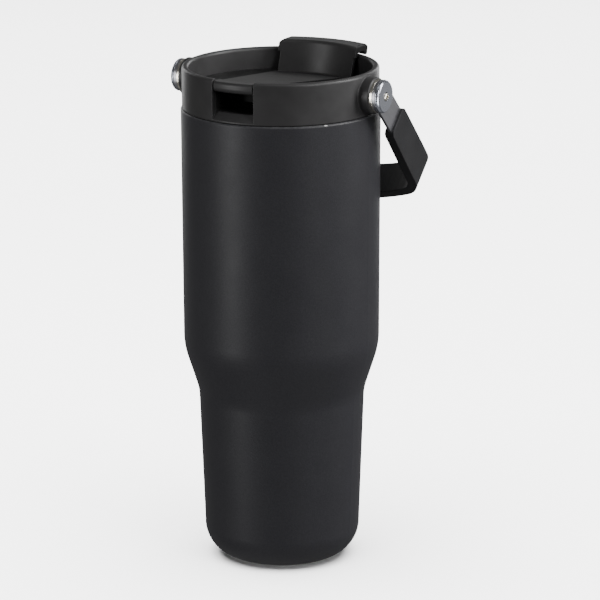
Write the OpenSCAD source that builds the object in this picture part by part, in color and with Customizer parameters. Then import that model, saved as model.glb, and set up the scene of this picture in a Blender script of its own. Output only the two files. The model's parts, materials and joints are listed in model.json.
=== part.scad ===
// Insulated travel mug: a double-wall steel body with a screw-on lid, a
// flip-top drinking cover and a bail handle that swings over the lid.
// Millimetres, +Z up. The origin is the centre of the base, on the surface
// that the mug stands on. The flap hinge is at -Y and the handle turns
// about a line along X.

/* [Body] */
// Radius of the body's outer corner line at the base, before rounding
base_r = 35.8; // [35:0.1:36.5]
// Radius where the lower wall meets the shoulder
waist_r = 38.8; // [38:0.1:39.5]
// Radius where the shoulder meets the upper wall
shoulder_r = 45.7; // [45.2:0.1:46]
// Radius at the top of the body
body_r = 46.2; // [46:0.1:46.6]
// Height where the lower wall meets the shoulder
waist_z = 81; // [76:1:84]
// Height where the shoulder meets the upper wall
shoulder_z = 102.4; // [100:0.2:106]
// Height of the body, up to its lip
body_h = 215.4; // [214:0.1:216]
// Rounding of the base corner
base_round = 15.5; // [14:0.5:16.5]
// Wall of the outer shell
shell_t = 0.6; // [0.5:0.1:0.8]
// Wall of the inner liner
liner_t = 0.5; // [0.4:0.1:0.6]
// Radius inside the neck
neck_r = 41.3; // [41.2:0.1:41.5]

/* [Lid] */
// Radius of the lid's collar
collar_r = 45.6; // [45:0.1:46]
// Radius inside the collar
dish_r = 42.4; // [42:0.1:42.6]
// Height of the rim above the base
rim_z = 235; // [234.5:0.1:235.5]
// Height of the dish floor above the base
deck_z = 224.7; // [224.4:0.1:225]
// Width of the window that the flap hinges in
window_w = 21.3; // [20.8:0.1:22]
// Radius of the plug that enters the neck
plug_r = 38.8; // [38.4:0.1:39]

/* [Thread] */
// Rise of the thread in one turn
lead = 8; // [8:0.5:9]
// Number of thread starts
starts = 2; // [1:1:3]
// Length of each start in degrees
thread_sweep = 300; // [200:10:300]

/* [Flap] */
// Width of the arm next to its hinge
arm_w = 25; // [24:0.2:26]
// Width of the arm where it meets the plate
arm_end_w = 35; // [33:0.5:36]
// Width of the upright plate
plate_w = 38.8; // [38:0.2:40]
// Height of the bar that shows in the window
bar_h = 5; // [4.6:0.1:5.2]
// Top of the thumb tab above the base
tab_z = 238.8; // [238.4:0.1:239.4]
// Reach of the thumb tab from the mug's axis
tab_r = 51.8; // [50:0.2:52.4]

/* [Handle] */
// Angle of the handle from straight down, at rest against the body
rest_angle = 44.6; // [44.6:0.2:48]
// Reach of the handle from its pivot to the outside of the grip
handle_reach = 79.8; // [79.8:0.2:82]
// Radius of the bridge's outer curve
bridge_r = 105; // [100:1:112]
// Width of the grip across the bridge
grip_w = 16.6; // [15.6:0.2:16.6]
// Width of the grip where the brackets enter it
grip_end_w = 15.6; // [14.6:0.2:15.8]
// Thickness of the grip
grip_t = 4.5; // [4:0.1:4.6]
// Radius of the round pivot discs
disc_r = 7.7; // [7.4:0.1:8]

/* [Hidden] */
$fn = 96;
arc_steps = 7;
wide_r = 8;
wide_step = 3.5;
STEEL = "#c4c5c7";
COAT = "#38393c";
PLASTIC = "#2a2a2b";
RUBBER = "#262627";
SILICONE = "#3a3a3c";
BRASS = "#b8a068";

// Body
lip_round = 1.0;
coat_end_z = 1.2;
vacuum_gap = 3.2;
wall_t = shell_t + vacuum_gap + liner_t;
liner_floor_z = 6.5;
liner_round = 9;
neck_waist_r = waist_r - wall_t;
cap_t = 0.8;
cap_recess_z = 1.8;
cap_recess_r = 16;
cap_foot_r = 18;
far = 120;

// Lid
seam_gap = 0.2;
collar_z = body_h + seam_gap;
collar_round = 1.4;
sill_z = collar_z + 0.8;
pocket_z = sill_z + 3.4;
pocket_back = 30;
cheek_t = 1.5;
cheek_back = 37.5;
trough_z = deck_z - 2.7;
skin_t = 1.8;
tray_z = trough_z - skin_t;
skirt_r = 40.8;
arm_gap = 0.8;
plug_wall = 1.8;
plug_floor_z = 194;
flange_t = 2;
bead_z = 211.9;
gasket_z = 212.5;
gasket_r = neck_r - 0.3;
sip_y = 27;
sip_w = 20;
sip_d = 9;
vent_y = -22;
vent_r = 1.2;
vent_top = 227;

// Pivots of the handle
pivot_z = 225.2;
boss_r = 8.5;
boss_x = 50.2;
boss_flare = 0.7;
washer_t = 1.2;
play = 0.15;
bracket_t = 1.4;
cap_disc_t = 1.8;
disc_edge = 1.5;
bracket_x = boss_x + washer_t + play;
disc_x = bracket_x + bracket_t + play;
screw_r = 1.5;
screw_tip_x = 44.6;
screw_head_r = 2;
screw_head_h = 1.2;
screw_dome = 0.8;
bush_r = 2.4;
insert_r = 2.7;
insert_x = 43.6;
hex_across = 1.5;

// Threads
thread_z = 200;
neck_crest_r = 40.25;
plug_crest_r = 39.85;
ridge_root = 2.0;
ridge_crest = 1.1;
root_embed = 0.2;
thread_step = 10;
fade = 30;

// Flap
hinge_y = -42;
hinge_z = 231.7;
pin_r = 1.0;
pin_half = 14;
pin_play = 0.06;
bar_half = window_w/2 - 0.65;
bar_top_z = hinge_z + bar_h/2;
bar_face_r = collar_r - 0.3;
bar_step = 0.8;
arm_t = 3;
ramp = -0.112;
shoulder_y = hinge_y + 5.2;
landing_r = 33;
landing_drop = 0.6;
foot_y = 24.5;
foot_z = deck_z - 1.9;
skirt_z = trough_z + 0.5;
rib_t = 1.6;
rib_y = -28.5;
plate_low_r = 37.7;
plate_lean = 0.267;
plate_t = 1.6;
plate_z = foot_z + 0.2;
plate_from_z = 226;
tab_t = 2.8;
tab_lip = 2.3;
tab_w = plate_w + 2.2;
tab_corner = 1.8;

// Handle
grip_skin = 1.2;
grip_x = bracket_x + bracket_t + grip_skin;
grip_start = 19.2;
grip_lean = 2.9;
grip_corner = 14;
grip_end_round = 2.2;
grip_full_w_at = 50;
bracket_w = 13;
bracket_end = 44;
lock_hole_r = 2;
lock_hole_at = 34;

// ---- geometry helpers ----

function unit(v) = v/norm(v);

// Points of the arc that rounds corner b of the path a, b, c. A wide arc has
// more of them.
function corner_arc(a, b, c, r) =
    let (
        u = unit(a - b),
        v = unit(c - b),
        half = acos(u*v)/2,
        centre = b + unit(u + v)*r/sin(half),
        from = b + u*r/tan(half) - centre,
        turn = (u.x*v.y - u.y*v.x > 0 ? -1 : 1)*(180 - 2*half),
        n = max(arc_steps, r > wide_r ? ceil(abs(turn)/wide_step) : 0)
    )
    [for (i = [0:n]) let (t = turn*i/n)
        centre + [from.x*cos(t) - from.y*sin(t), from.x*sin(t) + from.y*cos(t)]];

// A path of [x, y, rounding] corners as plain points.
function rounded(path) = [
    for (i = [0:len(path) - 1])
        let (p = path[i], b = [p[0], p[1]])
        each (p[2] == 0 || i == 0 || i == len(path) - 1
            ? [b]
            : corner_arc([path[i-1][0], path[i-1][1]], b,
                [path[i+1][0], path[i+1][1]], p[2]))
];

// The same line of points, d to its left.
function beside(pts, d) = [
    for (i = [0:len(pts) - 1])
        let (
            t1 = unit(pts[max(i, 1)] - pts[max(i, 1) - 1]),
            j = min(i, len(pts) - 2),
            t2 = unit(pts[j + 1] - pts[j]),
            n1 = [-t1.y, t1.x],
            n2 = [-t2.y, t2.x],
            m = unit(n1 + n2)
        )
        pts[i] + m*d/(m*n1)
];

function reversed(pts) = [for (i = [len(pts) - 1:-1:0]) pts[i]];

// A wall of thickness d on the left of a line, turned about Z.
module turned_wall(pts, d) {
    rotate_extrude()
        polygon(concat(pts, reversed(beside(pts, d))));
}

// A slot shape with round ends, w along X and d along Y.
module slot_2d(w, d) {
    square([w - d, d], center = true);
    for (s = [-1, 1])
        translate([s*(w - d)/2, 0]) circle(d = d);
}

// A cylinder along X from x0 to x1, on the handle's pivot line.
module pivot_cylinder(x0, x1, r, r_end = undef) {
    translate([x0, 0, pivot_z]) rotate([0, 90, 0])
        cylinder(r1 = r, r2 = is_undef(r_end) ? r : r_end, h = x1 - x0);
}

// The right-hand piece as it is, or mirrored to the left.
module on_side(side) {
    if (side == "left") mirror([1, 0, 0]) children();
    else children();
}

// One helical ridge, from root radius to crest radius, its middle at
// height z where its angle is 0. It fades in and out over its ends.
module ridge(root, crest, z) {
    out = crest > root ? 1 : -1;
    base = root - out*root_embed;
    steps = thread_sweep/thread_step;
    function section(i) =
        let (
            a = i*thread_step,
            grow = min(1, (a + 4)/fade, (thread_sweep - a + 4)/fade),
            tip = root + (crest - root)*grow,
            mid = z + lead*a/360
        )
        [for (p = [
            [base, -ridge_root/2], [tip, -ridge_crest/2],
            [tip, ridge_crest/2], [base, ridge_root/2]])
            [p[0]*cos(a), p[0]*sin(a), mid + p[1]]];
    points = [for (i = [0:steps]) each section(i)];
    sides = [for (i = [0:steps - 1], k = [0:3])
        let (a = 4*i + k, b = 4*i + (k + 1)%4)
        each [[a, b, b + 4], [a, b + 4, a + 4]]];
    ends = [[3, 2, 1, 0], [for (k = [0:3]) 4*steps + k]];
    faces = concat(sides, ends);
    polyhedron(points, out > 0 ? faces : [for (f = faces) reversed(f)]);
}

module thread(root, crest, z) {
    for (s = [0:starts - 1]) rotate(s*360/starts) ridge(root, crest, z);
}

// ---- body ----

shell_line = rounded([
    [cap_foot_r, 0, 0],
    [base_r, 0, base_round],
    [waist_r, waist_z, 25],
    [shoulder_r, shoulder_z, 36],
    [body_r, body_h, lip_round],
    [neck_r + liner_t, body_h, 0]
]);

// Powder-coated outer wall, turned in at the lip to meet the liner.
module outer_shell() {
    color(COAT) difference() {
        turned_wall(shell_line, shell_t);
        cylinder(r = far, h = 2*coat_end_z, center = true);
    }
}

// Bare steel bottom: the last of the corner, a foot ring and a raised middle.
module base_cap() {
    color(STEEL) {
        intersection() {
            turned_wall(shell_line, shell_t);
            cylinder(r = far, h = 2*coat_end_z, center = true);
        }
        turned_wall([
            [0, cap_recess_z],
            [cap_recess_r, cap_recess_z],
            [cap_foot_r, 0],
            [cap_foot_r + 2, 0]
        ], cap_t);
    }
}

// Inner vessel with the rolled neck thread.
module inner_liner() {
    inside = rounded([
        [0, liner_floor_z, 0],
        [base_r - wall_t, liner_floor_z, liner_round],
        [neck_waist_r, waist_z + 0.6, 29],
        [neck_r, shoulder_z + 0.6, 32],
        [neck_r, body_h, 0]
    ]);
    color(STEEL) {
        turned_wall(inside, -liner_t);
        thread(neck_r, neck_crest_r, thread_z);
    }
}

// Bead that closes the evacuation hole under the base.
module vacuum_seal() {
    color(SILICONE) translate([0, 0, cap_recess_z - 0.6])
        cylinder(r1 = 2.2, r2 = 2.8, h = 0.6);
}

// Gas-absorbing pill in the vacuum space, under the liner.
module getter() {
    color(STEEL) translate([0, 0, liner_floor_z - liner_t - 1.6])
        cylinder(r = 5, h = 1.6);
}

// ---- lid ----

// Ribbed sealing ring between the plug and the neck.
module lid_gasket() {
    r_in = plug_r + 0.1;
    top = collar_z - 0.1;
    rib = gasket_r - 0.7;
    color(SILICONE) rotate_extrude() polygon([
        [r_in, gasket_z], [rib, gasket_z], [gasket_r, gasket_z + 0.6],
        [rib, gasket_z + 1.3], [rib, gasket_z + 1.6],
        [gasket_r, gasket_z + 2.3], [gasket_r, top], [r_in, top]
    ]);
}

// The opening in the collar's front, with its sill sloping up inward at an
// edge that runs level round the collar.
module window_cut() {
    intersection() {
        rotate_extrude() polygon([
            [1, pocket_z], [collar_r - pocket_z + sill_z, pocket_z],
            [collar_r, sill_z], [far, sill_z], [far, far*2], [1, far*2]
        ]);
        translate([-window_w/2, -far, 0])
            cube([window_w, far - pocket_back, far*3]);
    }
}

// Small walls that carry the window's sides on into the dish, beside the bar.
module hinge_cheeks() {
    intersection() {
        cylinder(r = dish_r - 0.1, h = far*3);
        for (x = [-window_w/2 - cheek_t, window_w/2])
            translate([x, -far, trough_z - 1])
                cube([cheek_t, far - cheek_back, hinge_z + 0.6 - trough_z + 1]);
    }
}

// Hollow curve that blends a boss into the collar.
module boss_root() {
    root_x = collar_r - 0.8;
    translate([0, 0, pivot_z]) rotate([0, 90, 0]) rotate_extrude()
        polygon(concat(
            [[0, root_x], [boss_r + boss_flare, root_x]],
            [for (a = [0:15:90]) [
                boss_r + boss_flare*(1 - sin(a)),
                root_x + boss_flare*(1 - cos(a))]],
            [[0, root_x + boss_flare]]));
}

// Outer ring of the lid, with its rounded rim, window and pivot bosses.
module lid_collar() {
    ledge_r = skirt_r + 0.4;
    color(PLASTIC) difference() {
        union() {
            rotate_extrude() polygon(rounded([
                [dish_r, collar_z, 0],
                [collar_r, collar_z, 0.3],
                [collar_r, rim_z, collar_round],
                [dish_r, rim_z, collar_round],
                [dish_r, tray_z, 0],
                [ledge_r, tray_z, 0],
                [ledge_r, tray_z - 1.2, 0],
                [dish_r, tray_z - 2.4, 0]
            ]));
            for (side = ["right", "left"]) on_side(side) difference() {
                union() {
                    pivot_cylinder(dish_r - 2, boss_x - 0.5, boss_r);
                    pivot_cylinder(boss_x - 0.5, boss_x, boss_r, boss_r - 0.5);
                    boss_root();
                }
                translate([0, 0, pivot_z])
                    cylinder(r = dish_r, h = 40, center = true);
            }
        }
        window_cut();
        for (side = ["right", "left"]) on_side(side) {
            pivot_cylinder(insert_x, far, insert_r);
            translate([window_w/2 - 1, hinge_y, hinge_z]) rotate([0, 90, 0])
                cylinder(r = pin_r, h = pin_half - window_w/2 + 1);
        }
    }
}

// Plan of the flap's arm, which widens toward its foot, and of the foot.
module arm_2d(gap = 0) {
    w0 = arm_w/2 + gap;
    w1 = arm_end_w/2 + gap;
    polygon([[-w0, shoulder_y], [-w1, foot_y + 2], [w1, foot_y + 2], [w0, shoulder_y]]);
}

module foot_2d(gap = 0) {
    translate([-plate_w/2 - gap, foot_y - gap])
        square([plate_w + 2*gap, far]);
}

// Plan of the channel that the arm and the foot of the flap lie in.
module trough_2d(gap, r) {
    intersection() {
        union() {
            arm_2d(gap);
            foot_2d(gap);
            translate([-arm_w/2 - gap, -far])
                square([arm_w + 2*gap, far + shoulder_y]);
        }
        circle(r = r);
    }
}

// Floor of the dish with the flap's channel, the hinge pocket and its cheeks,
// the drinking hole and the vent.
module lid_deck() {
    color(PLASTIC) {
        difference() {
            union() {
                translate([0, 0, deck_z - skin_t])
                    cylinder(r = dish_r - 0.05, h = skin_t);
                difference() {
                    translate([0, 0, tray_z])
                        cylinder(r = dish_r - 0.05, h = deck_z - tray_z);
                    cylinder(r = skirt_r, h = far*2);
                }
                translate([0, 0, tray_z]) linear_extrude(deck_z - tray_z)
                    trough_2d(arm_gap + skin_t, skirt_r + 0.1);
                intersection() {
                    translate([-window_w/2 - 1.4, -far, pocket_z - skin_t])
                        cube([window_w + 2.8, far - pocket_back + skin_t,
                            deck_z - pocket_z + skin_t]);
                    cylinder(r = skirt_r + 0.1, h = far*3);
                }
            }
            translate([0, 0, trough_z]) linear_extrude(far)
                trough_2d(arm_gap, skirt_r - 0.2);
            window_cut();
            translate([0, sip_y, tray_z - 1]) linear_extrude(skin_t + 2)
                slot_2d(sip_w, sip_d);
            translate([0, vent_y, tray_z - 1]) cylinder(r = vent_r, h = 9);
        }
        difference() {
            translate([0, vent_y, trough_z - 0.5])
                cylinder(r1 = 3, r2 = 2.4, h = vent_top - trough_z + 0.5);
            translate([0, vent_y, tray_z - 1]) cylinder(r = vent_r, h = 9);
        }
        hinge_cheeks();
    }
}

// Threaded insulating plug with the drinking duct and the vent pipe.
module lid_plug() {
    color(PLASTIC) {
        difference() {
            union() {
                translate([0, 0, plug_floor_z])
                    cylinder(r = plug_r, h = tray_z - plug_floor_z);
                translate([0, 0, collar_z])
                    cylinder(r = dish_r, h = flange_t);
                translate([0, 0, bead_z - 0.4])
                    cylinder(r = plug_r + 0.6, h = 0.8);
            }
            translate([0, 0, plug_floor_z + plug_wall])
                cylinder(r = plug_r - plug_wall, h = far);
            translate([-window_w/2 - 1.6, -far, pocket_z - skin_t])
                cube([window_w + 3.2, far, far]);
            translate([0, sip_y, 0]) linear_extrude(far*2)
                slot_2d(sip_w, sip_d);
            translate([0, vent_y, 0]) cylinder(r = vent_r, h = far*2);
        }
        difference() {
            translate([0, 0, plug_floor_z + 1])
                linear_extrude(tray_z - plug_floor_z - 1) {
                    translate([0, sip_y]) slot_2d(sip_w + 3.2, sip_d + 3.2);
                    translate([0, vent_y]) circle(r = vent_r + 1.4);
                }
            translate([0, sip_y, 0]) linear_extrude(far*2)
                slot_2d(sip_w, sip_d);
            translate([0, vent_y, 0]) cylinder(r = vent_r, h = far*2);
        }
        thread(plug_r, plug_crest_r, thread_z - lead/starts/2);
    }
}

// ---- handle pivots ----

module boss_insert() {
    color(BRASS) difference() {
        pivot_cylinder(insert_x, boss_x, insert_r);
        pivot_cylinder(insert_x + 0.6, far, screw_r + 0.05);
    }
}

module pivot_washer() {
    color(STEEL) difference() {
        pivot_cylinder(boss_x, boss_x + washer_t, disc_r);
        pivot_cylinder(0, far, screw_r + 0.05);
    }
}

module pivot_bush() {
    color(BRASS) difference() {
        pivot_cylinder(boss_x + washer_t, disc_x, bush_r);
        pivot_cylinder(0, far, screw_r + 0.05);
    }
}

// Outer disc, with a rounded edge and a counterbored hole.
module pivot_disc() {
    face_x = disc_x + cap_disc_t;
    color(STEEL) difference() {
        translate([0, 0, pivot_z]) rotate([0, 90, 0]) rotate_extrude()
            polygon(rounded([
                [0, disc_x, 0], [disc_r, disc_x, 0.2],
                [disc_r, face_x, disc_edge], [0, face_x, 0]
            ]));
        pivot_cylinder(0, far, screw_r + 0.05);
        pivot_cylinder(face_x - screw_head_h, far, screw_head_r + 0.1);
    }
}

// Shoulder screw with a domed head and a small hexagonal socket.
module pivot_screw() {
    face_x = disc_x + cap_disc_t;
    seat_x = face_x - screw_head_h;
    top_x = face_x + screw_dome;
    color(STEEL) difference() {
        translate([0, 0, pivot_z]) rotate([0, 90, 0]) rotate_extrude()
            polygon(rounded([
                [0, screw_tip_x, 0], [screw_r, screw_tip_x, 0.3],
                [screw_r, seat_x, 0], [screw_head_r, seat_x, 0],
                [screw_head_r, top_x, 1.3], [0, top_x, 0]
            ]));
        translate([top_x - 1, 0, pivot_z]) rotate([0, 90, 0])
            cylinder(d = hex_across/cos(30), h = 2, $fn = 6);
    }
}

// ---- flap ----

function ramp_z(y) = bar_top_z - bar_step + ramp*(y - hinge_y);

// Side outline of the arm and foot, in Y and Z, with its top face lowered.
module arm_side_2d(drop) {
    foot_start = 15;
    polygon([
        [hinge_y, ramp_z(hinge_y) - drop], [far, ramp_z(far) - drop],
        [far, foot_z - far], [foot_start, foot_z - far],
        [foot_start, ramp_z(foot_start) - arm_t],
        [hinge_y, ramp_z(hinge_y) - arm_t]
    ]);
}

module arm_solid(drop) {
    intersection() {
        rotate([90, 0, 90])
            linear_extrude(2*far, center = true) arm_side_2d(drop);
        translate([0, 0, foot_z]) linear_extrude(20) children();
    }
}

// Side skirts and a cross rib that stiffen the arm from below.
module arm_ribs() {
    intersection() {
        rotate([90, 0, 90]) linear_extrude(2*far, center = true) polygon([
            [shoulder_y, ramp_z(shoulder_y) - 1], [foot_y, ramp_z(foot_y) - 1],
            [foot_y, skirt_z], [shoulder_y, skirt_z]
        ]);
        translate([0, 0, skirt_z]) linear_extrude(20) {
            difference() {
                arm_2d();
                arm_2d(-rib_t);
            }
            intersection() {
                arm_2d();
                translate([-far/2, rib_y]) square([far, rib_t]);
            }
        }
    }
}

// Hinge bar, whose face follows the outside of the collar.
module hinge_bar() {
    intersection() {
        rotate_extrude() polygon(rounded([
            [-hinge_y - 2.2, bar_top_z, 0],
            [-hinge_y - 2.2, bar_top_z - bar_h, 1.6],
            [bar_face_r, bar_top_z - bar_h, 2.2],
            [bar_face_r, bar_top_z, 1.6],
            [-hinge_y, bar_top_z, 0]
        ]));
        translate([-bar_half, -far, 0]) cube([2*bar_half, far, far*3]);
    }
}

// Upright plate, a leaning arc round the mug's axis, and the tab that
// reaches out over the rim with a lip turned down at its end.
module flap_plate() {
    under_z = tab_z - tab_t;
    lip_z = under_z - tab_lip;
    low_r = plate_low_r + plate_lean*(plate_z - plate_from_z);
    top_r = plate_low_r + plate_lean*(tab_z - plate_from_z);
    intersection() {
        rotate_extrude() polygon(rounded([
            [low_r, plate_z, 0],
            [low_r + plate_t, plate_z, 0],
            [top_r + plate_t, under_z, 1.6],
            [tab_r - 3.2, under_z, 1.2],
            [tab_r - 3.4, lip_z, 0.7],
            [tab_r - 1.3, lip_z, 0.8],
            [tab_r, tab_z, 2],
            [top_r, tab_z, 2],
            [low_r, plate_z, 0]
        ]));
        union() {
            translate([-plate_w/2, 0, 0]) cube([plate_w, far, far*3]);
            rotate([90, 0, 180]) linear_extrude(far) polygon(rounded([
                [-tab_w/2, lip_z, 0],
                [tab_w/2, lip_z, 0],
                [tab_w/2, tab_z, tab_corner],
                [-tab_w/2, tab_z, tab_corner],
                [-tab_w/2, lip_z, 0]
            ]));
        }
    }
}

// The whole flap in one piece: bar, arm, foot, plate and tab.
module flap() {
    color(PLASTIC) difference() {
        union() {
            hinge_bar();
            arm_ribs();
            arm_solid(0) {
                translate([-bar_half, hinge_y]) square([2*bar_half, 20]);
                intersection() {
                    arm_2d();
                    circle(r = landing_r);
                }
                intersection() {
                    arm_2d();
                    translate([-far/2, -far]) square([far, far]);
                }
            }
            arm_solid(landing_drop) {
                arm_2d();
                intersection() {
                    foot_2d();
                    circle(r = plate_low_r + plate_t/2);
                }
            }
            flap_plate();
        }
        translate([-far/2, hinge_y, hinge_z]) rotate([0, 90, 0])
            cylinder(r = pin_r + pin_play, h = far);
    }
}

module flap_hinge_pin() {
    color(STEEL) translate([-pin_half, hinge_y, hinge_z]) rotate([0, 90, 0])
        cylinder(r = pin_r, h = 2*pin_half);
}

// Soft stopper under the foot, which closes the drinking hole.
module sip_stopper() {
    pad_z = trough_z + 0.1;
    color(SILICONE) translate([0, sip_y, 0]) {
        translate([0, 0, pad_z]) linear_extrude(foot_z - pad_z)
            slot_2d(sip_w + 3, sip_d + 3);
        for (level = [0, 1]) translate([0, 0, pad_z - 1.4*(level + 1)])
            linear_extrude(1.4)
                slot_2d(sip_w - 1.2 - 0.8*level, sip_d - 1.2 - 0.8*level);
    }
}

// Soft cap under the arm, which closes the vent.
module vent_seal() {
    top = ramp_z(vent_y) - arm_t;
    color(SILICONE) intersection() {
        translate([0, vent_y, vent_top + 0.1])
            cylinder(r = 3.4, h = 10);
        rotate([90, 0, 90]) linear_extrude(20, center = true) polygon([
            [hinge_y, 0], [0, 0],
            [0, ramp_z(0) - arm_t], [hinge_y, ramp_z(hinge_y) - arm_t]
        ]);
    }
}

// ---- handle ----

// Half of one face of the grip, from an arm's end to the middle of the
// bridge, as X and distance from the pivot. The arm leans inward.
function grip_line(x, arc_r, corner, n = 12) =
    let (
        mid = [0, handle_reach - bridge_r],
        along = [-sin(grip_lean), cos(grip_lean)],
        out = [cos(grip_lean), sin(grip_lean)],
        w = [x, grip_start] - corner*out - mid,
        b = w*along,
        centre = mid + w + along*(sqrt(b*b - w*w + pow(arc_r - corner, 2)) - b),
        turn = atan2(centre.y - mid.y, centre.x)
    )
    concat(
        [[x, grip_start]],
        [for (i = [0:n]) let (a = grip_lean + (turn - grip_lean)*i/n)
            centre + corner*[cos(a), sin(a)]],
        [for (i = [1:n]) let (a = turn + (90 - turn)*i/n)
            mid + arc_r*[cos(a), sin(a)]]
    );

function both_halves(pts) = concat(pts,
    [for (i = [len(pts) - 2:-1:0]) [-pts[i].x, pts[i].y]]);

// From the handle's own frame, where it hangs straight down from the
// origin, to its place at rest.
module hang() {
    translate([0, 0, pivot_z]) rotate([rest_angle, 0, 0]) children();
}

// A shape in X and distance from the pivot, made w wide.
module strap(pts, w) {
    rotate([90, 0, 0]) linear_extrude(w, center = true)
        polygon([for (p = pts) [p.x, -p.y]]);
}

// Steel strap of one side, bent where it enters the grip.
module bracket_solid() {
    bent = [
        [bracket_x, -disc_r],
        [bracket_x, grip_start],
        [bracket_x - tan(grip_lean)*(bracket_end - grip_start), bracket_end]
    ];
    difference() {
        intersection() {
            strap(concat(bent, reversed(beside(bent, -bracket_t))), 2*disc_r);
            rotate([0, 90, 0]) linear_extrude(far) {
                circle(r = disc_r - 0.1);
                translate([0, -bracket_w/2]) square([far, bracket_w]);
            }
        }
        rotate([0, 90, 0]) translate([lock_hole_at, 0, 0])
            cylinder(r = lock_hole_r, h = far);
    }
}

// Soft-touch bail, moulded round the ends of the brackets.
module handle_grip() {
    outer = grip_line(grip_x, bridge_r, grip_corner);
    inner = grip_line(grip_x - grip_t/cos(grip_lean), bridge_r - grip_t,
        grip_corner - grip_t);
    end = grip_end_w/2;
    full = grip_w/2;
    color(RUBBER) hang() difference() {
        intersection() {
            strap(concat(both_halves(outer), reversed(both_halves(inner))),
                grip_w);
            rotate([0, 90, 0]) linear_extrude(far, center = true) polygon(rounded([
                [grip_start, 0, 0], [grip_start, -end, grip_end_round],
                [grip_full_w_at, -full, 0], [far, -full, 0],
                [far, full, 0], [grip_full_w_at, full, 0],
                [grip_start, end, grip_end_round], [grip_start, 0, 0]
            ]));
        }
        for (side = ["right", "left"]) on_side(side) bracket_solid();
    }
}

module handle_bracket() {
    color(STEEL) hang() difference() {
        bracket_solid();
        rotate([0, 90, 0]) cylinder(r = bush_r + 0.06, h = far);
    }
}

// ---- the assembly ----

outer_shell();
inner_liner();
base_cap();
vacuum_seal();
getter();
lid_gasket();
lid_collar();
lid_deck();
lid_plug();
flap_hinge_pin();
for (side = ["right", "left"]) on_side(side) {
    boss_insert();
    pivot_washer();
    pivot_bush();
    pivot_disc();
    pivot_screw();
    handle_bracket();
}
flap();
sip_stopper();
vent_seal();
handle_grip();
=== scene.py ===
"""Looks for the insulated travel mug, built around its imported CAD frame. Metres, +Z up."""

import json
import math

import bpy
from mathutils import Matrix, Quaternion, Vector


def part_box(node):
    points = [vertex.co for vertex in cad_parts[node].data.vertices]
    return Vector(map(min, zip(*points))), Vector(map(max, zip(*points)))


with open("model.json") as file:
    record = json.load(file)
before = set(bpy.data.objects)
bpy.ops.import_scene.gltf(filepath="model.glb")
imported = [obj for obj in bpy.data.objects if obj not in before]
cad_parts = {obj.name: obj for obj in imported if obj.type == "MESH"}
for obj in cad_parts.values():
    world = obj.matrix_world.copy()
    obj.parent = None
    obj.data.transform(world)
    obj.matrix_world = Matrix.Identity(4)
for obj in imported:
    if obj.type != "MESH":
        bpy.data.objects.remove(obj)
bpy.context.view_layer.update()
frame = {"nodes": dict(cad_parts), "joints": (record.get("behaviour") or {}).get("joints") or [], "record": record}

MM = 0.001

# The camera stands at this distance from the mug's axis and this height,
# turned from -Y toward +X, and looks at a point near the body's middle, a little
# to the right of the axis. The lens is in millimetres.
CAMERA_TURN = math.radians(29.3)
CAMERA_DISTANCE = 1.7
CAMERA_HEIGHT = 0.575
CAMERA_LENS = 225.7
AIM_SIDE = 0.00868
AIM_HEIGHT = 0.1228
CAMERA_ROLL = math.radians(-0.15)

# Where a small painted glint sits just below the lip: round from -Y toward +X, and how far out.
GLINT_TURN = math.radians(55.6)
GLINT_R = 45.9 * MM

# The channel and the hinge pocket under the flap, where shade is painted: from its floor
# # up to the dish floor, and how far out. On the flap the region's top rises by this much for
# # each metre forward of the axis, up to the arm's underside.
RECESS_Z = (217.2 * MM, 224.6 * MM)
RECESS_R = 41 * MM
RECESS_RISE = 0.15

# The rays of the node that rounds the edges, and the cosines between the rounded
# and the flat normal at which a place counts as fully on an edge and as off it.
EDGE_RAYS = 6
ON_EDGE, OFF_EDGE = 0.75, 0.98

# ShaderNodeMix has sockets of one name for each kind of data, so the ones for
# colours go by number.
MIX_DARK, MIX_LIGHT, MIX_COLOUR = 6, 7, 2


# ---- shader helpers ----


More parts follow.
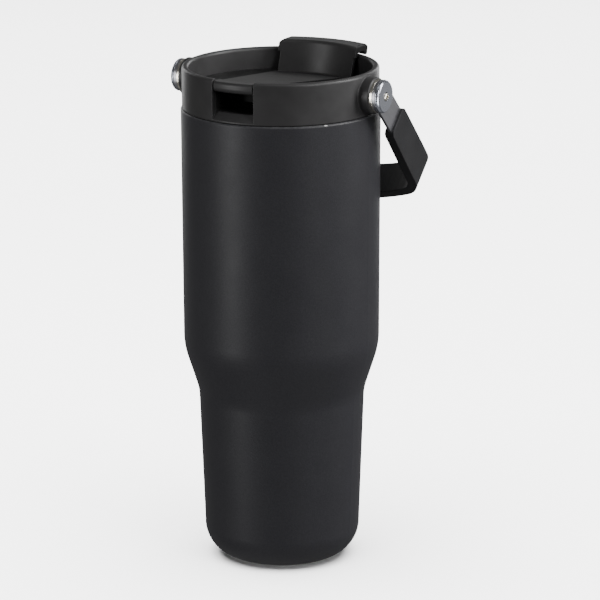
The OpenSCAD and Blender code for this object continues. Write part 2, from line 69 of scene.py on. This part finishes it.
class Shader:
    """A material with one Principled BSDF and a few ways to vary it. The colour
    and roughness given are the plain ones, until a pattern is linked over them."""

    def __init__(self, name, colour, roughness, metallic=0.0, **sockets):
        self.material = bpy.data.materials.new(name)
        self.material.use_nodes = True
        self.tree = self.material.node_tree
        self.bsdf = self.tree.nodes["Principled BSDF"]
        self.bsdf.inputs["Base Color"].default_value = (*colour, 1.0)
        self.bsdf.inputs["Roughness"].default_value = roughness
        self.bsdf.inputs["Metallic"].default_value = metallic
        for socket, value in sockets.items():
            self.bsdf.inputs[socket.replace("_", " ")].default_value = value
        self.place = self.node("ShaderNodeTexCoord").outputs["Object"]

    def node(self, kind, inputs=(), **settings):
        """Adds a node. Each input is a value, or a socket to link it to."""
        made = self.tree.nodes.new(kind)
        for key, value in settings.items():
            setattr(made, key, value)
        for key, value in dict(inputs).items():
            if isinstance(value, bpy.types.NodeSocket):
                self.tree.links.new(value, made.inputs[key])
            else:
                made.inputs[key].default_value = value
        return made

    def to(self, socket, value):
        """Links `value` to a socket of the surface's own shader."""
        self.tree.links.new(value, self.bsdf.inputs[socket])

    def math(self, operation, a, b=0.0):
        """The result of one operation on numbers."""
        return self.node("ShaderNodeMath", {0: a, 1: b}, operation=operation).outputs[0]

    def vector(self, operation, a, b=(0, 0, 0), output="Vector"):
        """The result of vector maths; `output` is "Value" where it is a number."""
        made = self.node("ShaderNodeVectorMath", {0: a, 1: b}, operation=operation)
        return made.outputs[output]

    def xyz(self, vector=None):
        """The three coordinates of `vector`, or of the place on the object."""
        return self.node("ShaderNodeSeparateXYZ", {0: vector or self.place}).outputs

    def combined(self, *coordinates):
        """A vector of the coordinates given; the rest are 0."""
        return self.node("ShaderNodeCombineXYZ", dict(enumerate(coordinates))).outputs[0]

    def noise(self, size, detail=2.0, rough=0.5, vector=None):
        """Noise whose features are about `size` metres, or units of `vector`."""
        inputs = {
            "Vector": vector or self.place,
            "Scale": 1 / size,
            "Detail": detail,
            "Roughness": rough,
        }
        return self.node("ShaderNodeTexNoise", inputs).outputs["Fac"]

    def ranged(self, value, low, high, start=0.3, end=0.7):
        """`value` from start..end mapped to low..high."""
        inputs = {"Value": value, "From Min": start, "From Max": end, "To Min": low, "To Max": high}
        return self.node("ShaderNodeMapRange", inputs).outputs[0]

    def mixed(self, fac, dark, light):
        """A colour from `dark` to `light`, each one a colour or a socket."""
        ends = [c if isinstance(c, bpy.types.NodeSocket) else (*c, 1.0) for c in (dark, light)]
        inputs = {0: fac, MIX_DARK: ends[0], MIX_LIGHT: ends[1]}
        return self.node("ShaderNodeMix", inputs, data_type="RGBA").outputs[MIX_COLOUR]

    def bump(self, height, depth, strength=1.0, under=None):
        """A bump `depth` metres deep, over another bump if given."""
        inputs = {"Height": height, "Distance": depth, "Strength": strength}
        if under:
            inputs["Normal"] = under
        return self.node("ShaderNodeBump", inputs).outputs[0]

    def distance(self, offset, weights):
        """The length of `offset` with each coordinate weighted; 0 drops one."""
        return self.vector("LENGTH", self.vector("MULTIPLY", offset, weights), output="Value")

    def axis_distance(self):
        """The distance from the mug's axis."""
        return self.distance(self.place, (1, 1, 0))

    def patch(self, centre, radius, flat):
        """A mask that is 1 in a slightly ragged spot round a point, `radius`
        wide each way and `flat` times as high."""
        away = self.distance(self.vector("SUBTRACT", self.place, centre), (1, 1, 1 / flat))
        ragged = self.math("ADD", away, self.ranged(self.noise(radius), -radius / 5, radius / 5))
        return self.ranged(ragged, 1, 0, 0.8 * radius, radius)

    def edges(self, radius):
        """Normals that turn round each edge within `radius`, and a mask that
        rises to 1 along the edges, with which the materials paint highlights there."""
        soft = self.node("ShaderNodeBevel", {"Radius": radius}, samples=EDGE_RAYS).outputs[0]
        face = self.node("ShaderNodeNewGeometry").outputs["Normal"]
        cosine = self.vector("DOT_PRODUCT", soft, face, output="Value")
        return soft, self.ranged(cosine, 1, 0, ON_EDGE, OFF_EDGE)


# ---- materials ----


def shades(colour, *factors):
    """The same colour made darker or lighter by each factor."""
    return [tuple(c * factor for c in colour) for factor in factors]


def painted_lip_highlight(s, top):
    """A mask that is 1 along the shell's top edge, unevenly, where a highlight is painted."""
    line = s.ranged(s.xyz()[2], 0, 1, top - 0.9 * MM, top - 0.35 * MM)
    return s.math("MULTIPLY", line, s.ranged(s.noise(2.5 * MM), 0.2, 0.8))


def painted_lip_glint(s, top):
    """A mask that is 1 in a small flat spot just below the shell's top edge, where a glint is painted."""
    centre = (GLINT_R * math.sin(GLINT_TURN), -GLINT_R * math.cos(GLINT_TURN), top - 0.4 * MM)
    return s.patch(centre, radius=0.9 * MM, flat=0.3)


def powder_coat():
    """Charcoal powder coat: fine grain, faint mottling, a painted highlight along the lip
    and the edges, and one small near-white spot below the lip that is a painted glint."""
    s = Shader("powder_coat", (0.03, 0.031, 0.034), 0.5, Specular_IOR_Level=0.5)
    grain = s.noise(0.45 * MM, detail=3, rough=0.6)
    mottle = s.noise(14 * MM, detail=3)
    soft, edge_highlight_mask = s.edges(0.5 * MM)
    coat = s.mixed(s.ranged(grain, 0, 1), (0.0235, 0.0233, 0.0275), (0.042, 0.0418, 0.0485))
    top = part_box("outer_shell")[1][2]
    # painted highlight: the lip's top line and the edges are made lighter
    painted_edge_highlight = s.mixed(s.math("MAXIMUM", painted_lip_highlight(s, top), edge_highlight_mask), coat, (0.09, 0.09, 0.094))
    # painted glint: a near-white spot just below the lip
    s.to("Base Color", s.mixed(painted_lip_glint(s, top), painted_edge_highlight, (0.9, 0.9, 0.88)))
    s.to("Roughness", s.ranged(mottle, 0.42, 0.48))
    orange_peel = s.bump(s.noise(2.2 * MM), 0.03 * MM, 0.4, under=soft)
    s.to("Normal", s.bump(grain, 0.05 * MM, 0.55, under=orange_peel))
    return s.material


def recess_shade_mask(s, rise):
    """A mask that is 1 in the channel and the hinge pocket under the flap, where
    shade is painted. Its top rises by `rise` for each metre forward of the axis."""
    low, high = RECESS_Z
    _, y, z = s.xyz()
    under_top = s.math("ADD", z, s.math("MULTIPLY", s.math("MINIMUM", y, 0), rise))
    above_floor = s.ranged(z, 0, 1, low, low + MM)
    below_top = s.ranged(under_top, 1, 0, high - MM, high)
    inside = s.ranged(s.axis_distance(), 1, 0, RECESS_R - MM, RECESS_R)
    return s.math("MULTIPLY", s.math("MULTIPLY", above_floor, below_top), inside)


def moulded_plastic(name, shade, roughness, rise=0.0):
    """Satin black moulded plastic of the lid and the flap, with painted highlights along
    the edges and painted shade in the recess under the flap, which is also duller; its mask takes `rise`."""
    s = Shader(name, (shade, shade, shade), roughness, Specular_IOR_Level=0.5)
    cloud = s.noise(9 * MM, detail=2)
    fine = s.noise(0.35 * MM, detail=2)
    soft, edge_highlight_mask = s.edges(0.45 * MM)
    dark, pale = shades((shade, 0.98 * shade, shade), 0.92, 1.08)
    resin = s.mixed(s.ranged(cloud, 0, 1), dark, pale)
    # painted highlight: lighter along the edges
    with_painted_edges = s.mixed(edge_highlight_mask, resin, (0.085, 0.084, 0.086))
    recess_shade = recess_shade_mask(s, rise)
    # painted shade: near-black colour in the recess under the flap
    s.to("Base Color", s.mixed(recess_shade, with_painted_edges, (0.006, 0.006, 0.006)))
    satin = s.ranged(cloud, roughness - 0.03, roughness + 0.04)
    s.to("Roughness", s.math("ADD", satin, s.math("MULTIPLY", recess_shade, 0.45)))
    s.to("Normal", s.bump(fine, 0.012 * MM, 0.5, under=soft))
    return s.material


def grip_rubber():
    """Matte black soft-touch rubber with a fine pebble, and painted highlights along its edges."""
    s = Shader("grip_rubber", (0.022, 0.022, 0.023), 0.58, Specular_IOR_Level=0.42)
    pebble = s.noise(0.5 * MM, detail=3, rough=0.6)
    cloud = s.noise(12 * MM, detail=2)
    soft, edge_highlight_mask = s.edges(0.7 * MM)
    rubber = s.mixed(s.ranged(cloud, 0, 1), (0.019, 0.019, 0.0205), (0.026, 0.026, 0.028))
    # painted highlight: lighter along the edges
    s.to("Base Color", s.mixed(edge_highlight_mask, rubber, (0.055, 0.055, 0.058)))
    s.to("Roughness", s.ranged(pebble, 0.52, 0.66))
    s.to("Normal", s.bump(pebble, 0.03 * MM, 0.5, under=soft))
    return s.material


def silicone():
    """Matte dark silicone of the seals, with a slight sheen."""
    s = Shader("silicone", (0.04, 0.04, 0.042), 0.5, Sheen_Weight=0.1)
    cloud = s.noise(3 * MM, detail=3)
    s.to("Base Color", s.mixed(s.ranged(cloud, 0, 1), (0.036, 0.036, 0.038), (0.047, 0.047, 0.05)))
    s.to("Roughness", s.ranged(cloud, 0.45, 0.56))
    s.to("Normal", s.bump(cloud, 0.02 * MM, 0.4))
    return s.material


def steel(name, lines, roughness, depth=0.012 * MM, tint=(0.6, 0.6, 0.6)):
    """Stainless steel whose fine scratches follow `lines`, a function of the
    shader that gives coordinates stretched along the scratches. `roughness` is
    its lowest and highest, and `depth` is the scratches'. Its edges have painted highlights."""
    s = Shader(name, tint, 0.28, metallic=1.0)
    scratch = s.noise(1.0, detail=4, rough=0.7, vector=lines(s))
    cloud = s.noise(5 * MM, detail=2)
    soft, edge_highlight_mask = s.edges(0.2 * MM)
    dark, light, painted_edge_highlight = shades(tint, 0.86, 1.1, 1.4)
    # painted highlight: lighter along the edges
    s.to("Base Color", s.mixed(edge_highlight_mask, s.mixed(s.ranged(scratch, 0, 1), dark, light), painted_edge_highlight))
    s.to("Roughness", s.math("ADD", s.ranged(scratch, *roughness), s.ranged(cloud, -0.03, 0.03)))
    s.to("Normal", s.bump(scratch, depth, 0.5, under=soft))
    return s.material


def turned_about_x(s):
    """Scratches in circles about the handle's pivot line."""
    offset = s.vector("SUBTRACT", s.place, frame_joint("handle_swing")["pos_m"])
    x, y, _ = s.xyz(offset)
    ring = s.math("DIVIDE", s.distance(offset, (0, 1, 1)), 0.12 * MM)
    return s.combined(ring, s.math("DIVIDE", y, 6 * MM), s.math("DIVIDE", x, 0.2 * MM))


def turned_about_z(s):
    """Scratches in circles about the mug's axis."""
    x, _, z = s.xyz()
    ring = s.math("DIVIDE", s.math("ADD", s.axis_distance(), z), 0.6 * MM)
    return s.combined(ring, s.math("DIVIDE", x, 12 * MM))


def along_bracket(s):
    """Scratches along the brackets, which lean back from straight down."""
    inputs = {"Vector": s.place, "Rotation": (-bracket_lean(), 0, 0)}
    upright = s.node("ShaderNodeMapping", inputs).outputs[0]
    return s.vector("MULTIPLY", upright, (1 / (0.15 * MM), 1 / (0.15 * MM), 1 / (8 * MM)))


def brass():
    """Machined brass of the inserts and the bushes."""
    s = Shader("brass", (0.66, 0.5, 0.24), 0.3, metallic=1.0)
    fine = s.noise(0.3 * MM, detail=3)
    s.to("Base Color", s.mixed(s.ranged(fine, 0, 1), (0.6, 0.44, 0.2), (0.72, 0.55, 0.28)))
    s.to("Roughness", s.ranged(fine, 0.24, 0.4))
    s.to("Normal", s.bump(fine, 0.01 * MM, 0.4))
    return s.material


def sealing_compound():
    """Dull grey compound of the vacuum seal."""
    s = Shader("sealing_compound", (0.2, 0.2, 0.21), 0.6)
    cloud = s.noise(1 * MM, detail=3)
    s.to("Base Color", s.mixed(s.ranged(cloud, 0, 1), (0.16, 0.16, 0.17), (0.24, 0.24, 0.25)))
    s.to("Roughness", s.ranged(cloud, 0.5, 0.7))
    s.to("Normal", s.bump(cloud, 0.05 * MM, 0.5))
    return s.material


# ---- what the frame says ----


def frame_joint(name):
    """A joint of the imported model."""
    return next(joint for joint in frame["joints"] if joint["name"] == name)


def bracket_lean():
    """The brackets' angle from straight down, as the slope of the line from the
    pivot to the lowest and rearmost corner of their box."""
    pivot = Vector(frame_joint("handle_swing")["pos_m"])
    low, high = (Vector(corner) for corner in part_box("handle_bracket_right"))
    return math.atan2(high.y - pivot.y, pivot.z - low.z)


# ---- the CAD nodes ----


def dress(node, material):
    """Puts one material on every slot of a CAD node."""
    slots = node.data.materials
    for i in range(len(slots)):
        slots[i] = material
    if not slots:
        slots.append(material)


def dress_all():
    """Dresses each node by its material slot, or by its name where the pieces
    of one slot have different finishes."""
    finishes = {
        "powder_coat": powder_coat(),
        "lid_plastic": moulded_plastic("lid_plastic", 0.04, 0.4, rise=RECESS_RISE),
        "grip_rubber": grip_rubber(),
        "silicone": silicone(),
        "brass": brass(),
        "sealing_compound": sealing_compound(),
        "steel": steel("steel_turned", turned_about_z, (0.24, 0.34), depth=0.005 * MM),
    }
    # painted shade: the deck is the lid's black plastic made darker, for the dish floor under the rim
    shaded_deck = moulded_plastic("deck_plastic_shaded", 0.014, 0.5)
    liner = steel("steel_liner", turned_about_z, (0.4, 0.48), depth=0.003 * MM,
                  tint=(0.66, 0.66, 0.65))
    disc = steel("steel_discs", turned_about_x, (0.17, 0.26), tint=(0.5, 0.52, 0.58))
    washer = steel("steel_washers", turned_about_x, (0.16, 0.27), tint=(0.66, 0.63, 0.56))
    bracket = steel("steel_brackets", along_bracket, (0.28, 0.4), tint=(0.36, 0.36, 0.38))
    by_start = {
        "lid_deck": shaded_deck,
        "inner_liner": liner,
        "pivot_disc": disc,
        "pivot_washer": washer,
        "pivot_screw": washer,
        "handle_bracket": bracket,
    }
    for part in frame["record"]["subparts"]:
        name = part["node"]
        own = [material for start, material in by_start.items() if name.startswith(start)]
        dress(frame["nodes"][name], own[0] if own else finishes[part["material_slot"]])


# ---- studio ----


def studio_surface():
    """Matte, very slightly cloudy white."""
    s = Shader("studio_floor", (0.86, 0.86, 0.86), 0.8, Specular_IOR_Level=0.15)
    cloud = s.noise(0.4, detail=2)
    s.to("Base Color", s.mixed(s.ranged(cloud, 0, 1), (0.85, 0.85, 0.85), (0.87, 0.87, 0.87)))
    return s.material


def floor():
    """A pale floor that curves up into a backdrop behind the mug. The mug neither
    mirrors it nor is lit or shaded by it, which keeps the mug dark."""
    facing = Vector((math.sin(CAMERA_TURN), -math.cos(CAMERA_TURN), 0))
    side = Vector((-facing.y, facing.x, 0))
    # How far it reaches in front of the mug, behind it up to the bend and to
    # each side, then the bend's radius and the height of the wall above it.
    front, back, half, bend, wall = 2.6, 1.6, 3.0, 0.8, 3.0
    arc = [math.radians(a) for a in range(6, 91, 6)]
    outline = [(-front, 0.0), (back, 0.0)]
    outline += [(back + bend * math.sin(a), bend * (1 - math.cos(a))) for a in arc]
    outline += [(back + bend, bend + wall)]
    verts = []
    for sign in (-1, 1):
        verts += [tuple(-facing * d + side * half * sign + Vector((0, 0, z))) for d, z in outline]
    n = len(outline)
    faces = [(i, i + 1, n + i + 1, n + i) for i in range(n - 1)]
    mesh = bpy.data.meshes.new("studio_floor")
    mesh.from_pydata(verts, [], faces)
    for polygon in mesh.polygons:
        polygon.use_smooth = True
    mesh.materials.append(studio_surface())
    surface = bpy.data.objects.new("studio_floor", mesh)
    surface.visible_diffuse = False
    surface.visible_glossy = False
    surface.visible_shadow = False
    bpy.context.collection.objects.link(surface)
    return surface


def softbox(name, azimuth, elevation, distance, size, power, only=None):
    """A rectangular soft light that faces the mug. The azimuth is measured from
    the camera's. With `only`, it lights just the objects of that collection."""
    a, e = CAMERA_TURN + math.radians(azimuth), math.radians(elevation)
    toward = Vector((math.sin(a) * math.cos(e), -math.cos(a) * math.cos(e), math.sin(e)))
    data = bpy.data.lights.new(name, "AREA")
    data.shape = "RECTANGLE"
    data.size, data.size_y = size
    data.energy = power
    light = bpy.data.objects.new(name, data)
    light.location = Vector((0, 0, AIM_HEIGHT)) + toward * distance
    light.rotation_mode = "QUATERNION"
    light.rotation_quaternion = (-toward).to_track_quat("-Z", "Y")
    if only:
        light.light_linking.receiver_collection = only
    bpy.context.collection.objects.link(light)


def lit_group(name, *starts, others=False):
    """A collection, for lights, of the nodes whose names start so, or of all
    the others."""
    group = bpy.data.collections.new(name)
    for node_name, node in frame["nodes"].items():
        if node_name.startswith(starts) != others:
            group.objects.link(node)
    return group


def studio():
    """The floor, the soft boxes and a dim white world."""
    backdrop = bpy.data.collections.new("backdrop")
    backdrop.objects.link(floor())
    # The left light stays off the deck, so that the hinge pocket is dark, and the
    # right one off the deck and the flap, whose flat tops would mirror it.
    all_but_deck = lit_group("all_but_deck", "lid_deck", others=True)
    all_but_top = lit_group("all_but_top", "flap", "lid_deck", others=True)
    lid_top = lit_group("lid_top", "flap", "lid_deck")
    collar = lit_group("collar", "lid_collar")
    liner = lit_group("liner", "inner_liner")
    pivots = lit_group("pivots", "pivot_washer", "pivot_disc", "pivot_screw", "handle_bracket")

    softbox("left", -57, 6, 1.5, (0.22, 1.0), 7, only=all_but_deck)
    softbox("right", 86, 30, 1.2, (0.45, 1.0), 13, only=all_but_top)
    softbox("collar_right", 86, 30, 1.2, (0.45, 1.0), 5, only=collar)
    softbox("lid_top", 180, 35, 1.2, (0.6, 0.5), 0.5, only=lid_top)
    softbox("fill", 40, 24, 1.8, (0.3, 1.0), 9)
    softbox("top", 10, 72, 1.4, (1.4, 0.7), 1.8)
    softbox("back", 180, 40, 1.8, (1.6, 1.0), 0.6)
    softbox("back_left", -155, 8, 1.6, (0.5, 1.0), 4)
    softbox("back_right", 156, 8, 1.6, (0.4, 1.0), 5)
    softbox("inside", 90, 76, 0.8, (0.9, 0.9), 14, only=liner)
    softbox("bounce", 0, -75, 1.0, (1.6, 1.6), 1.2)
    softbox("face_card", 121, -6, 0.42, (0.3, 0.3), 0.08, only=pivots)
    softbox("edge_card", 36, -10, 0.6, (0.5, 0.4), 3.5, only=pivots)
    softbox("left_card", -60, -10, 0.6, (0.3, 0.4), 1.0, only=pivots)
    softbox("floor_light", 0, 88, 2.6, (4, 4), 800, only=backdrop)

    world = bpy.data.worlds.new("studio")
    world.use_nodes = True
    background = world.node_tree.nodes["Background"]
    background.inputs["Color"].default_value = (1, 1, 1, 1)
    background.inputs["Strength"].default_value = 0.14
    bpy.context.scene.world = world


def camera():
    """The camera, at the angle and distance given at the top."""
    data = bpy.data.cameras.new("camera")
    data.lens = CAMERA_LENS
    data.clip_start, data.clip_end = 0.05, 50
    cam = bpy.data.objects.new("camera", data)
    s, c = math.sin(CAMERA_TURN), math.cos(CAMERA_TURN)
    cam.location = (CAMERA_DISTANCE * s, -CAMERA_DISTANCE * c, CAMERA_HEIGHT)
    aim = Vector((AIM_SIDE * c, AIM_SIDE * s, AIM_HEIGHT))
    look = (aim - cam.location).to_track_quat("-Z", "Y")
    cam.rotation_mode = "QUATERNION"
    cam.rotation_quaternion = look @ Quaternion((0, 0, 1), CAMERA_ROLL)
    bpy.context.collection.objects.link(cam)
    bpy.context.scene.camera = cam


dress_all()
studio()
camera()
